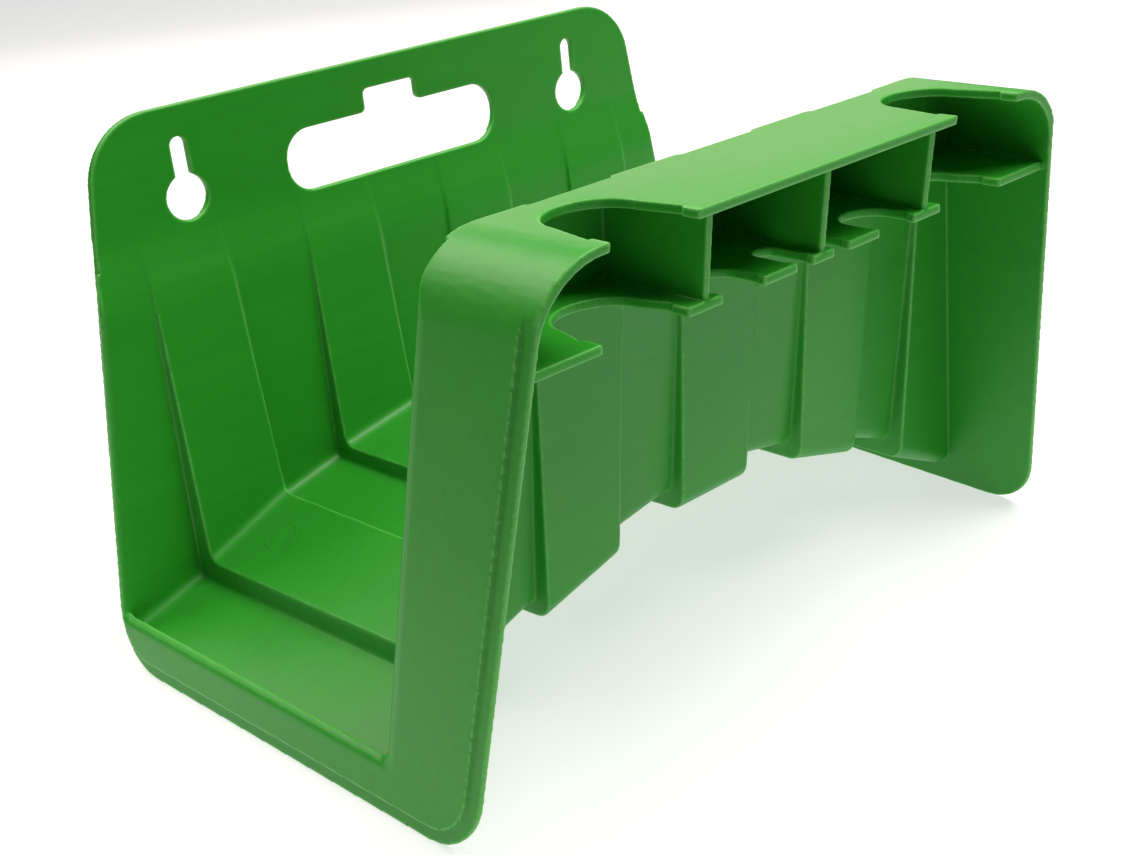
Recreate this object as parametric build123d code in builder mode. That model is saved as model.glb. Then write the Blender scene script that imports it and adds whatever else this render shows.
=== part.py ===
"""Wall-mounted garden hose hanger, one polypropylene moulding, sizes in mm."""
import os
from math import hypot

from build123d import *

# Overall sizes. Depth is measured forward from the wall, height up from the standing edges.
bottom_width = 302.0
total_height = 192.0
total_depth = 219.0
wall_thickness = 3.0

# How far the cutting shapes run past the body.
margin = 43.8

# End flanges: they lean in towards the top and toe in towards the front.
side_lean = 0.16
side_toe = 0.054
toe_depth = 82.0
back_foot_depth = 4.0
front_lean = 0.142
top_corner_radius = 25.0
foot_corner_radius = 22.0
lip_height = 19.0
lead_in_depth = 4.0
lead_in_front = 5.5
lead_in_low = 3.0
lead_in_back = 1.1
rim_width = 5.0
rim_back_width = 2.5
rim_depth = 1.2

# Trough: segments across it lie alternately at the outer level and at the raised level.
segment_count = 9
pitch_back = 33.0
pitch_taper = 0.013
step_run = 1.2
step_draft = 0.024
even_drop = 124.0
trough_back_depth = 7.2
raised_back_lean = 0.06
trough_front_depth = 152.5
trough_front_lean = 0.11
raised_front_lean = 0.055
trough_corner_radius = 4.0
bend_drop = 44.0
bend_length = 18.0
bend_radius = 60.0
back_fade_drop = 49.0
front_fade_drop = 52.0

# Floor heights at the segments' boundaries, by the count of pitches from the middle.
outer_floor = {0.5: 50.5, 1.5: 45.2, 2.5: 37.5, 3.5: 21.5, 4.5: 11.5}
raised_floor = {0.5: 57.0, 1.5: 50.7, 2.5: 42.2, 3.5: 28.2}
floor_slope = {0.5: 0.03, 1.5: 0.03, 2.5: 0.023, 3.5: 0.03, 4.5: 0.0}

# Back plate with keyholes and hand slot, measured down from its top edge.
plate_corner_radius = 25.0
keyhole_spacing = 184.0
keyhole_drop = 32.5
keyhole_head = 16.5
keyhole_slot = 6.4
keyhole_reach = 18.3
slot_width = 99.0
slot_height = 23.0
slot_drop = 19.5
slot_corner = 10.5
notch_width = 24.5
notch_height = 8.7
notch_corner = 2.2

# Shelves, ribs and clip openings, measured from the middle of the front.
shelf_drop = 16.0
shelf_gap = 29.0
shelf_setback = 2.5
rib_spacing = 50.8
rib_thickness = 2.4
rib_setback = 3.0
clip_centre = 75.0
clip_width = 30.0
clip_end_depth = 181.0
clip_flare = 2.8
clip_nub = 1.4
clip_nub_length = 7.0
medium_centre = 35.75
medium_width = 19.5
medium_end_depth = 192.0
slit_centre = 8.5
slit_width = 9.0
slit_end_depth = 193.0
finger_nub = 1.0
finger_nub_length = 3.5

# Heights and depths that follow from the sizes above.
wall_y = total_depth / 2
half_count = segment_count / 2
shelf_height = total_height - shelf_drop
low_shelf_height = shelf_height - shelf_gap
bend_high = total_height - bend_drop
bend_low = bend_high - bend_length
plate_foot = bend_high + bend_length / 4
even_height = total_height - even_drop
back_fade_height = total_height - back_fade_drop
front_fade_height = total_height - front_fade_drop
front_foot_depth = total_depth - front_lean * shelf_height
flange_skew = hypot(1, side_lean, side_toe)


def half_width(depth, height):
    """Half the width over the end flanges."""
    return bottom_width / 2 - side_lean * height + side_toe * (toe_depth - depth)


def back_edge(height):
    """Depth of the flanges' back edge."""
    return max(back_foot_depth * (1 - height / shelf_height), 0.0)


def front_edge(height):
    """Depth of the flanges' front edge."""
    return front_foot_depth + front_lean * height


def floor_at(levels, index):
    """Value at a place across the trough, straight between the named boundaries."""
    place = min(max(abs(index), min(levels)), max(levels))
    low = max(key for key in levels if key <= place)
    high = min(key for key in levels if key >= place)
    if high == low:
        return levels[low]
    return levels[low] + (place - low) / (high - low) * (levels[high] - levels[low])


def cross_plane(index, draft):
    """Plane across the trough, first axis from the wall to the front, second axis up along the draft."""
    forward = Vector(-index * pitch_taper, -1, 0)
    origin = Vector(index * pitch_back - draft * even_height, wall_y, 0)
    return Plane(origin=origin, x_dir=forward, z_dir=forward.cross(Vector(draft, 0, 1)))


def trough_points(index, raised, skin, top):
    """U-shaped outline at one level as depths and heights; skin 0 gives the hollow."""
    floor = floor_at(raised_floor if raised else outer_floor, index)
    back_lean = raised_back_lean if raised else 0.0
    front_lean_in = raised_front_lean if raised else 0.0

    def back(height):
        return trough_back_depth + back_lean * max(back_fade_height - height, 0.0) - skin

    def front(height):
        step = front_lean_in * max(front_fade_height - height, 0.0)
        return trough_front_depth + trough_front_lean * height - step + skin

    low_back = floor - skin
    low_front = low_back + floor_at(floor_slope, index) * (trough_front_depth - trough_back_depth)
    bend = bend_low - skin
    lip = wall_thickness - skin
    return [
        (lip, top),
        (lip, bend_high - skin),
        (back(bend), bend),
        (back(low_back), low_back),
        (front(low_front), low_front),
        (front(top), top),
    ]


def trough_section(index, share, draft, skin, top):
    """Sketch of the trough's outline, share 0 at the outer level and share 1 at the raised level."""
    stretch = hypot(1, index * pitch_taper)
    climb = hypot(1, draft)
    levels = zip(trough_points(index, False, skin, top), trough_points(index, True, skin, top))
    points = []
    for outer, raised in levels:
        depth = outer[0] + share * (raised[0] - outer[0])
        height = outer[1] + share * (raised[1] - outer[1])
        points.append((depth * stretch, height * climb))
    with BuildSketch(cross_plane(index, draft)) as outline:
        with BuildLine():
            Polyline(*points, close=True)
        make_face()
        for point in points[1:3]:
            fillet(outline.vertices().sort_by_distance(point)[0], bend_radius)
        for point in points[3:5]:
            fillet(outline.vertices().sort_by_distance(point)[0], trough_corner_radius + skin)
    return outline.sketch


def trough_sections(skin, top, offset):
    """Sections from end to end; each step is drafted, and eased at both edges."""
    end = (half_width(0, 0) + margin) / pitch_back
    sections = [trough_section(place, 0.0, 0.0, skin, top) for place in (-end, -half_count)]
    for boundary in range(segment_count - 1):
        rising = boundary % 2 == 0
        sign = 1 if rising else -1
        middle = boundary + 1 - half_count + sign * offset / pitch_back
        for run, share in ((-1.0, 0.0), (-0.5, 0.14), (0.5, 0.86), (1.0, 1.0)):
            place = middle + run * step_run / 2 / pitch_back
            level = share if rising else 1 - share
            sections.append(trough_section(place, level, sign * step_draft, skin, top))
    sections += [trough_section(place, 0.0, 0.0, skin, top) for place in (half_count, end)]
    return sections


def envelope(inset, bottom, top, stretch):
    """Two outlines of the leaning body; stretch lengthens it past the wall and the front."""
    layers = []
    for height in (bottom, top):
        back = back_edge(height) - stretch
        front = front_edge(height) + stretch
        wide = half_width(back, height) - inset
        narrow = half_width(front, height) - inset
        with BuildSketch(Plane.XY.offset(height)) as layer:
            with BuildLine():
                Polyline(
                    (-wide, wall_y - back),
                    (wide, wall_y - back),
                    (narrow, wall_y - front),
                    (-narrow, wall_y - front),
                    close=True,
                )
            make_face()
        layers.append(layer.sketch)
    return layers


def flange_plane():
    """Outer face of the left flange, first axis forward, second axis up."""
    origin = Vector(-half_width(0, 0), wall_y, 0)
    return Plane(origin=origin, x_dir=(side_toe, -1, 0), z_dir=(-1, -side_toe, side_lean))


def mouth_points(share):
    """The trough's mouth on the left flange, above the lip, grown by a share of the lead-in."""
    floor = lip_height - share * lead_in_low
    top = shelf_height + margin
    back = trough_back_depth - share * lead_in_back
    front = trough_front_depth + share * lead_in_front
    spots = [
        (back, top),
        (back, floor),
        (front + trough_front_lean * floor, floor),
        (front + trough_front_lean * top, top),
    ]
    points = []
    for depth, height in spots:
        spot = flange_plane().to_local_coords(Vector(-half_width(depth, height), wall_y - depth, height))
        points.append((spot.X, spot.Y))
    return points


# Outer shape of the trough.
with BuildPart() as trough:
    trough_top = shelf_height - wall_thickness / 2
    loft(sections=trough_sections(wall_thickness, trough_top, wall_thickness / 2), ruled=True)

# Space between the flanges, under the top shelf.
with BuildPart() as between:
    between_top = shelf_height - wall_thickness
    loft(sections=envelope(wall_thickness * flange_skew, -margin, between_top, margin), ruled=True)
    top_edges = between.edges().group_by(Axis.Z)[-1].sort_by(Axis.X)
    fillet([top_edges[0], top_edges[-1]], top_corner_radius - wall_thickness)

# Outline of the body, with rounded top edges and feet.
with BuildPart() as outline:
    loft(sections=envelope(0.0, 0.0, shelf_height, 0.0), ruled=True)
    foot_edges = outline.edges().group_by(Axis.Z)[0].sort_by(Axis.Y)
    fillet([foot_edges[0], foot_edges[-1]], foot_corner_radius)
    top_edges = outline.edges().group_by(Axis.Z)[-1].sort_by(Axis.X)
    fillet([top_edges[0], top_edges[-1]], top_corner_radius)

# End flanges with the top shelf, and the flanges' low lips.
with BuildPart() as flanges:
    add(outline.part)
    add(between.part, mode=Mode.SUBTRACT)

with BuildPart() as lips:
    add(flanges.part)
    split(bisect_by=Plane.XY.offset(lip_height), keep=Keep.BOTTOM)

# Hollow of the trough, which leaves the lips standing.
with BuildPart() as hollow:
    hollow_top = total_height + margin
    loft(sections=trough_sections(0.0, hollow_top, -wall_thickness / 2), ruled=True)
    add(lips.part, mode=Mode.SUBTRACT)

# Rounded lead-in around each mouth of the trough, stepped through a quarter circle.
with BuildPart() as lead_in:
    layers = []
    for inward, grow in ((-1.0, 1.0), (0.0, 1.0), (0.134, 0.5), (0.5, 0.134), (1.0, 0.0)):
        with BuildSketch(flange_plane().offset(-inward * lead_in_depth)) as layer:
            with BuildLine():
                Polyline(*mouth_points(grow), close=True)
            make_face()
            fillet(layer.vertices().sort_by(Axis.Y)[:2], trough_corner_radius)
        layers.append(layer.sketch)
    loft(sections=layers, ruled=True)
    mirror(about=Plane.YZ)

# Shallow step around the outer edges of the flanges.
with BuildPart() as rim:
    loft(sections=envelope(-margin, 0.0, shelf_height, margin), ruled=True)
    top = shelf_height + margin
    inner = envelope(rim_depth * flange_skew, -margin, top, 2 * margin)
    loft(sections=inner, ruled=True, mode=Mode.SUBTRACT)
    with BuildSketch(Plane.YZ) as field:
        with BuildLine():
            Polyline(
                (wall_y - back_edge(rim_width) - rim_back_width, rim_width),
                (wall_y - front_edge(rim_width) + rim_width, rim_width),
                (wall_y - front_edge(top) + rim_width, top),
                (wall_y - back_edge(top) - rim_back_width, top),
                close=True,
            )
        make_face()
        low_corners = field.vertices().sort_by(Axis.Y)[:2]
        fillet(low_corners, foot_corner_radius - rim_width)
    extrude(amount=bottom_width, both=True, mode=Mode.SUBTRACT)

with BuildPart() as hanger:
    # End flanges joined by the top shelf, and the trough between them.
    add(flanges.part)
    add(trough.part.intersect(outline.part))

    # Lower shelf.
    shelf_back = trough_front_depth + trough_front_lean * low_shelf_height + wall_thickness / 2
    shelf_front = front_edge(low_shelf_height) - shelf_setback
    with BuildSketch(Plane.XY.offset(low_shelf_height - wall_thickness)):
        wide = half_width(shelf_back, low_shelf_height) - wall_thickness / 2
        narrow = half_width(shelf_front, low_shelf_height) - wall_thickness / 2
        with BuildLine():
            Polyline(
                (-wide, wall_y - shelf_back),
                (wide, wall_y - shelf_back),
                (narrow, wall_y - shelf_front),
                (-narrow, wall_y - shelf_front),
                close=True,
            )
        make_face()
    extrude(amount=wall_thickness)

    # Upright ribs between the shelves.
    rib_low = low_shelf_height - wall_thickness / 2
    rib_high = shelf_height - wall_thickness / 2
    for side in (-1, 0, 1):
        with BuildSketch(Plane.YZ.offset(side * rib_spacing)):
            with BuildLine():
                Polyline(
                    (wall_y - shelf_back, rib_low),
                    (wall_y - front_edge(rib_low) + rib_setback, rib_low),
                    (wall_y - front_edge(rib_high) + rib_setback, rib_high),
                    (wall_y - shelf_back, rib_high),
                    close=True,
                )
            make_face()
        extrude(amount=rib_thickness / 2, both=True)

    # Hollow of the trough and its lead-ins.
    add(hollow.part, mode=Mode.SUBTRACT)
    add(lead_in.part, mode=Mode.SUBTRACT)

    # Back plate above the bend, level with the rim at its sides.
    with BuildSketch(Plane.XZ.offset(-wall_y)) as plate:
        low_half = half_width(0, plate_foot) - rim_depth * flange_skew
        top_half = half_width(0, total_height) - rim_depth * flange_skew
        with BuildLine():
            Polyline(
                (-low_half, plate_foot),
                (low_half, plate_foot),
                (top_half, total_height),
                (-top_half, total_height),
                close=True,
            )
        make_face()
        fillet(plate.vertices().sort_by(Axis.Y)[-2:], plate_corner_radius)
    extrude(amount=wall_thickness)
    add(rim.part, mode=Mode.SUBTRACT)

    # Hand slot with its notch, and the keyholes.
    with BuildSketch(Plane.XZ.offset(-wall_y)) as grip:
        slot_high = total_height - slot_drop
        with Locations((0, slot_high - slot_height / 2)):
            RectangleRounded(slot_width, slot_height, slot_corner)
        with Locations((0, slot_high)):
            Rectangle(notch_width, 2 * notch_height)
        notch_edges = [v for v in grip.vertices() if abs(abs(v.X) - notch_width / 2) < notch_corner]
        fillet(notch_edges, notch_corner)
    extrude(amount=2 * wall_thickness, mode=Mode.SUBTRACT)
    with BuildSketch(Plane.XZ.offset(-wall_y)):
        with Locations((-keyhole_spacing / 2, 0), (keyhole_spacing / 2, 0)):
            with Locations((0, total_height - keyhole_drop)):
                Circle(keyhole_head / 2)
            with Locations((0, total_height - keyhole_drop + keyhole_reach / 2)):
                Rectangle(keyhole_slot, keyhole_reach)
            with Locations((0, total_height - keyhole_drop + keyhole_reach)):
                Circle(keyhole_slot / 2)
    extrude(amount=2 * wall_thickness, mode=Mode.SUBTRACT)

    # Clip openings: the wide ones in both shelves, the smaller ones only in the lower shelf.
    far = total_depth + margin
    wide_clip = (clip_centre, clip_width, clip_end_depth, clip_flare, clip_nub, clip_nub_length)
    medium_clip = (medium_centre, medium_width, medium_end_depth, 0.0, finger_nub, finger_nub_length)
    slit = (slit_centre, slit_width, slit_end_depth, 0.0, finger_nub, finger_nub_length)
    openings = (
        (wide_clip, shelf_height, total_depth),
        (wide_clip, low_shelf_height, shelf_front),
        (medium_clip, low_shelf_height, shelf_front),
        (slit, low_shelf_height, shelf_front),
    )
    for (centre, width, end_depth, flare, nub, nub_length), top, front in openings:
        half = width / 2
        mouth = half + flare
        middle = end_depth + half
        neck = front - nub_length
        with BuildSketch(Plane.XY.offset(top - 2 * wall_thickness)):
            with Locations((-centre, wall_y), (centre, wall_y)):
                with Locations((0, -middle)):
                    Circle(half)
                Polygon((-mouth, -neck), (mouth, -neck), (half, -middle), (-half, -middle), align=None)
                with Locations((0, -(neck + far) / 2)):
                    Rectangle(2 * (mouth - nub), far - neck)
        extrude(amount=3 * wall_thickness, mode=Mode.SUBTRACT)

os.makedirs("parts", exist_ok=True)
hanger.part.label = "hanger"
export_step(hanger.part, "parts/hanger.step")
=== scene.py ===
"""Studio view of a green moulded hose hanger: plastic finish, soft light and the photograph's camera."""

import math

import bpy
import bmesh
import numpy
from mathutils import Matrix, Vector


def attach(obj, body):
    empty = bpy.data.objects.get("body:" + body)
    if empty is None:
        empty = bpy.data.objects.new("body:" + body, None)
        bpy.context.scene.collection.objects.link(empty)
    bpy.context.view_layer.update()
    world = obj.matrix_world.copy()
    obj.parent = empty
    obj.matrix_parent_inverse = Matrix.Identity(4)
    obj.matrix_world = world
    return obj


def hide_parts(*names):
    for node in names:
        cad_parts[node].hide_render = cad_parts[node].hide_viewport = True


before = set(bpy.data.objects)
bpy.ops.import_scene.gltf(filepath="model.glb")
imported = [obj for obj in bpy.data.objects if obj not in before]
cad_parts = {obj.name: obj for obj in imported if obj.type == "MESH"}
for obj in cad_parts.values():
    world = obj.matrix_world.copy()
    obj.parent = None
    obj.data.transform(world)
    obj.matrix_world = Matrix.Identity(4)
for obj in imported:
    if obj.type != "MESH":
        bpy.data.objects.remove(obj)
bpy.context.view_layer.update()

# Camera, in metres and degrees.
EYE = Vector((-0.3518, -0.3921, 0.2902))
AIM = Vector((0.0238, 0.0493, 0.0432))
ROLL = math.radians(-5.93)
LENS_MM = 49.81
SENSOR_MM = 36.0
NEAREST = 0.01

# Surround and floor. The floor's glow fades over these ranges towards the left and the front.
SURROUND_TINT = (0.93, 0.96, 1.0, 1.0)
SURROUND_STRENGTH = 0.08
FLOOR_REACH = 4.0
FLOOR_GREY = (0.5, 0.5, 0.5, 1.0)
FLOOR_ROUGHNESS = 0.9
GLOW_COLOUR = (1.0, 1.0, 1.0, 1.0)
GLOW = 0.8
GLOW_LEAST = 0.0
GLOW_FADE = {"X": (-0.5, -0.2), "Y": (-0.5, -0.2)}

# Softboxes: place, width, height, watts and colour of each, all turned towards one point.
LIGHTS_AIM = Vector((0.0, 0.0, 0.1))
SOFTBOXES = {
    "top_light": ((0.38, -0.42, 1.3), 0.8, 0.8, 17.6, (0.99, 1.0, 0.885)),
    "overhead_fill": ((0.2, 0.0, 1.4), 1.0, 1.0, 1.5, (0.9, 0.95, 1.0)),
    "back_light": ((-0.3, 0.9, 1.3), 1.2, 0.8, 18.0, (1.0, 0.91, 0.8)),
    "low_back_light": ((0.9, 1.2, 0.6), 1.4, 0.6, 5.5, (1.0, 0.75, 0.72)),
    "side_fill": ((-1.3, 0.1, 0.6), 0.8, 0.8, 1.1, (0.85, 0.97, 1.0)),
}

# Softened edges of the moulding: fineness of the even mesh, and how often and how far it is smoothed.
MERGE_GAP = 2e-6
MESH_DEPTH = 9
MESH_FILL = 0.9
EDGE_ROUNDS = 5
EDGE_SOFTNESS = 0.5
MOST_TRIANGLES = 190000

# Plastic: greens from the darkest clouding to the palest painted edge highlight, and the size of each
# surface detail.
GREENS_AND_EDGE_HIGHLIGHT = {
    0.0: (0.019, 0.262, 0.016, 1.0),
    0.25: (0.023, 0.305, 0.018, 1.0),
    0.5: (0.029, 0.345, 0.022, 1.0),
    # The last stop is the painted highlight of convex edges, partly the pale flash of the moulding.
    1.0: (0.1, 0.46, 0.075, 1.0),
}
ROUGHNESS = (0.37, 0.48)
REFRACTION = 1.49
SHEEN_LEVEL = 0.4
CLOUDS_PER_M = 22.0
CLOUD_DETAIL = 2.0
STREAKS_PER_M = (5.0, 260.0, 260.0)
STREAK_DETAIL = 3.0
TONE_SHARE = 0.25
GRAINS_PER_M = 1900.0
GRAIN_DETAIL = 2.0
RELIEF = {"grain": 0.1, "streaks": 0.22, "ring": 0.9}
RELIEF_DEPTH = 0.00012

# Painted edge highlights, partly the pale flash of the moulding: from the bend, per metre, where they
# begin to the bend where they are palest.
HIGHLIGHT_BEND = (130.0, 620.0)

# Round mould mark on the floor of the trough, in metres.
RING_CENTRE = (-0.097, 0.0769, 0.0366)
RING_RADIUS = 0.0063
RING_LINE = 0.0006


def photo_camera():
    """Camera at the photograph's viewing angle, turned a little about its own axis."""
    data = bpy.data.cameras.new("photo_camera")
    data.sensor_fit = "HORIZONTAL"
    data.sensor_width = SENSOR_MM
    data.lens = LENS_MM
    data.clip_start = NEAREST
    camera = bpy.data.objects.new("photo_camera", data)
    turn = (AIM - EYE).to_track_quat("-Z", "Y").to_matrix().to_4x4()
    camera.matrix_world = Matrix.Translation(EYE) @ turn @ Matrix.Rotation(ROLL, 4, "Z")
    bpy.context.scene.collection.objects.link(camera)
    bpy.context.scene.camera = camera


def softbox(name, place, width, height, watts, colour):
    """Rectangular area light turned towards the object."""
    data = bpy.data.lights.new(name, "AREA")
    data.shape = "RECTANGLE"
    data.size = width
    data.size_y = height
    data.energy = watts
    data.color = colour
    lamp = bpy.data.objects.new(name, data)
    lamp.location = place
    lamp.rotation_euler = (LIGHTS_AIM - Vector(place)).to_track_quat("-Z", "Y").to_euler()
    bpy.context.scene.collection.objects.link(lamp)


def add_node(tree, kind, inputs, **settings):
    """Adds one shader node and returns its first output; each input takes a value or an output."""
    node = tree.nodes.new("ShaderNode" + kind)
    for name, value in settings.items():
        setattr(node, name, value)
    for name, value in inputs.items():
        if isinstance(value, bpy.types.NodeSocket):
            tree.links.new(value, node.inputs[name])
        else:
            node.inputs[name].default_value = value
    return node.outputs[0]


def floor_paint():
    """Paint of a white light table whose glow fades towards the left and the front."""
    paint = bpy.data.materials.new("floor_paint")
    paint.use_nodes = True
    tree = paint.node_tree
    shader = tree.nodes["Principled BSDF"]
    shader.inputs["Base Color"].default_value = FLOOR_GREY
    shader.inputs["Roughness"].default_value = FLOOR_ROUGHNESS
    shader.inputs["Emission Color"].default_value = GLOW_COLOUR
    place = tree.nodes.new("ShaderNodeTexCoord").outputs["Object"]
    split = tree.nodes.new("ShaderNodeSeparateXYZ")
    tree.links.new(place, split.inputs["Vector"])
    fades = []
    for axis, (dim, bright) in GLOW_FADE.items():
        limits = {"From Min": dim, "From Max": bright, "To Min": GLOW_LEAST, "To Max": GLOW}
        values = {"Value": split.outputs[axis], **limits}
        fades.append(add_node(tree, "MapRange", values, interpolation_type="SMOOTHSTEP"))
    glow = add_node(tree, "Math", {0: fades[0], 1: fades[1]}, operation="MULTIPLY")
    tree.links.new(glow, shader.inputs["Emission Strength"])
    return paint


def studio():
    """Dim surround, softboxes overhead and behind, and a white light table as floor."""
    scene = bpy.context.scene
    scene.view_settings.view_transform = "Standard"
    world = bpy.data.worlds.new("studio_walls")
    world.use_nodes = True
    surround = world.node_tree.nodes["Background"]
    surround.inputs["Color"].default_value = SURROUND_TINT
    surround.inputs["Strength"].default_value = SURROUND_STRENGTH
    scene.world = world
    for name, settings in SOFTBOXES.items():
        softbox(name, *settings)

    sheet = bmesh.new()
    bmesh.ops.create_grid(sheet, x_segments=1, y_segments=1, size=FLOOR_REACH)
    mesh = bpy.data.meshes.new("studio_floor")
    sheet.to_mesh(mesh)
    sheet.free()
    floor = bpy.data.objects.new("studio_floor", mesh)
    scene.collection.objects.link(floor)
    mesh.materials.append(floor_paint())


def moulded_relief(tree, place, streaks):
    """Fine grain, flow streaks and the round mould mark, as one height."""
    grain = add_node(tree, "TexNoise", {"Vector": place, "Scale": GRAINS_PER_M, "Detail": GRAIN_DETAIL})
    away = tree.nodes.new("ShaderNodeVectorMath")
    away.operation = "DISTANCE"
    tree.links.new(place, away.inputs[0])
    away.inputs[1].default_value = RING_CENTRE
    off = add_node(tree, "Math", {0: away.outputs["Value"], 1: RING_RADIUS}, operation="SUBTRACT")
    off = add_node(tree, "Math", {0: off}, operation="ABSOLUTE")
    limits = {"From Min": 0.0, "From Max": RING_LINE, "To Min": RELIEF["ring"], "To Max": 0.0}
    height = add_node(tree, "MapRange", {"Value": off, **limits}, interpolation_type="SMOOTHSTEP")
    for layer, share in ((grain, RELIEF["grain"]), (streaks, RELIEF["streaks"])):
        height = add_node(tree, "Math", {0: layer, 1: share, 2: height}, operation="MULTIPLY_ADD")
    return height


def green_polypropylene():
    """Satin green polypropylene: faint clouding, flow streaks along the mould and a painted highlight on
    convex edges, partly pale flash.
    """
    paint = bpy.data.materials.new("green_polypropylene")
    paint.use_nodes = True
    tree = paint.node_tree
    shader = tree.nodes["Principled BSDF"]
    place = tree.nodes.new("ShaderNodeTexCoord").outputs["Object"]
    clouds = add_node(tree, "TexNoise", {"Vector": place, "Scale": CLOUDS_PER_M, "Detail": CLOUD_DETAIL})
    stretched = add_node(tree, "Mapping", {"Vector": place, "Scale": STREAKS_PER_M})
    streaks = add_node(tree, "TexNoise", {"Vector": stretched, "Scale": 1.0, "Detail": STREAK_DETAIL})
    # The edge attribute holds the painted highlight on convex edges, partly the pale flash of the
    # moulding.
    edge = tree.nodes.new("ShaderNodeAttribute")
    edge.attribute_name = "edge"

    # Clouding and streaks are the plastic's own tone; the edge share added on top is painted highlight.
    tone_and_highlight = add_node(tree, "Math", {0: clouds, 1: streaks}, operation="ADD")
    values = {0: tone_and_highlight, 1: TONE_SHARE, 2: edge.outputs["Fac"]}
    tone_and_highlight = add_node(tree, "Math", values, operation="MULTIPLY_ADD")
    ramp = tree.nodes.new("ShaderNodeValToRGB")
    tree.links.new(tone_and_highlight, ramp.inputs["Fac"])
    tree.links.new(ramp.outputs["Color"], shader.inputs["Base Color"])
    marks = ramp.color_ramp.elements
    while len(marks) < len(GREENS_AND_EDGE_HIGHLIGHT):
        marks.new(0.5)
    for mark, (spot, green) in zip(marks, GREENS_AND_EDGE_HIGHLIGHT.items()):
        mark.position = spot
        mark.color = green

    limits = {"To Min": ROUGHNESS[0], "To Max": ROUGHNESS[1]}
    roughness = add_node(tree, "MapRange", {"Value": clouds, **limits})
    tree.links.new(roughness, shader.inputs["Roughness"])
    height = moulded_relief(tree, place, streaks)
    bump = add_node(tree, "Bump", {"Height": height, "Distance": RELIEF_DEPTH})
    tree.links.new(bump, shader.inputs["Normal"])
    shader.inputs["IOR"].default_value = REFRACTION
    shader.inputs["Specular IOR Level"].default_value = SHEEN_LEVEL
    return paint


def mark_edge_highlights(mesh):
    """Stores how sharply each point stands out, as the share of painted edge highlight: the mean bend of
    the edges round it, evened once.
    """
    spots = numpy.empty(len(mesh.vertices) * 3, numpy.float32)
    facing = numpy.empty(len(mesh.vertices) * 3, numpy.float32)
    ends = numpy.empty(len(mesh.edges) * 2, numpy.int32)
    mesh.vertices.foreach_get("co", spots)
    mesh.vertices.foreach_get("normal", facing)
    mesh.edges.foreach_get("vertices", ends)
    spots, facing, ends = spots.reshape(-1, 3), facing.reshape(-1, 3), ends.reshape(-1, 2)
    bend = numpy.zeros(len(spots))
    tally = numpy.zeros(len(spots))
    for here, there in ((0, 1), (1, 0)):
        step = spots[ends[:, there]] - spots[ends[:, here]]
        drop = -2.0 * (step * facing[ends[:, here]]).sum(1) / (step * step).sum(1)
        numpy.add.at(bend, ends[:, here], drop)
        numpy.add.at(tally, ends[:, here], 1.0)
    bend /= tally
    even = bend.copy()
    numpy.add.at(even, ends[:, 0], bend[ends[:, 1]])
    numpy.add.at(even, ends[:, 1], bend[ends[:, 0]])
    even /= tally + 1.0
    least, most = HIGHLIGHT_BEND
    share = numpy.clip((even - least) / (most - least), 0.0, 1.0)
    # The share of painted edge highlight, partly pale flash, is stored as the edge attribute.
    marks = mesh.attributes.new("edge", "FLOAT", "POINT")
    marks.data.foreach_set("value", share.astype(numpy.float32))


def bake_modifier(piece, kind, **settings):
    """Adds one modifier to a piece and applies it to the mesh."""
    modifier = piece.modifiers.new(kind.lower(), kind)
    for name, value in settings.items():
        setattr(modifier, name, value)
    graph = bpy.context.evaluated_depsgraph_get()
    done = bpy.data.meshes.new_from_object(piece.evaluated_get(graph))
    piece.modifiers.clear()
    piece.data = done


def rounded_moulding():
    """Copy of the moulding with every edge softened as a mould leaves it."""
    work = bmesh.new()
    work.from_mesh(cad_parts["hanger"].data)
    bmesh.ops.remove_doubles(work, verts=work.verts, dist=MERGE_GAP)
    mesh = bpy.data.meshes.new("moulding")
    work.to_mesh(mesh)
    work.free()
    piece = bpy.data.objects.new("moulding", mesh)
    bpy.context.scene.collection.objects.link(piece)
    even = {"octree_depth": MESH_DEPTH, "scale": MESH_FILL, "sharpness": 1.0}
    bake_modifier(piece, "REMESH", mode="SHARP", **even)
    bake_modifier(piece, "SMOOTH", factor=EDGE_SOFTNESS, iterations=EDGE_ROUNDS)
    mark_edge_highlights(piece.data)
    share = MOST_TRIANGLES / (2 * len(piece.data.polygons))
    bake_modifier(piece, "DECIMATE", decimate_type="COLLAPSE", ratio=min(share, 1.0))
    piece.data.materials.clear()
    piece.data.materials.append(green_polypropylene())
    for face in piece.data.polygons:
        face.use_smooth = True
    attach(piece, "root")
    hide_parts("hanger")


photo_camera()
studio()
rounded_moulding()
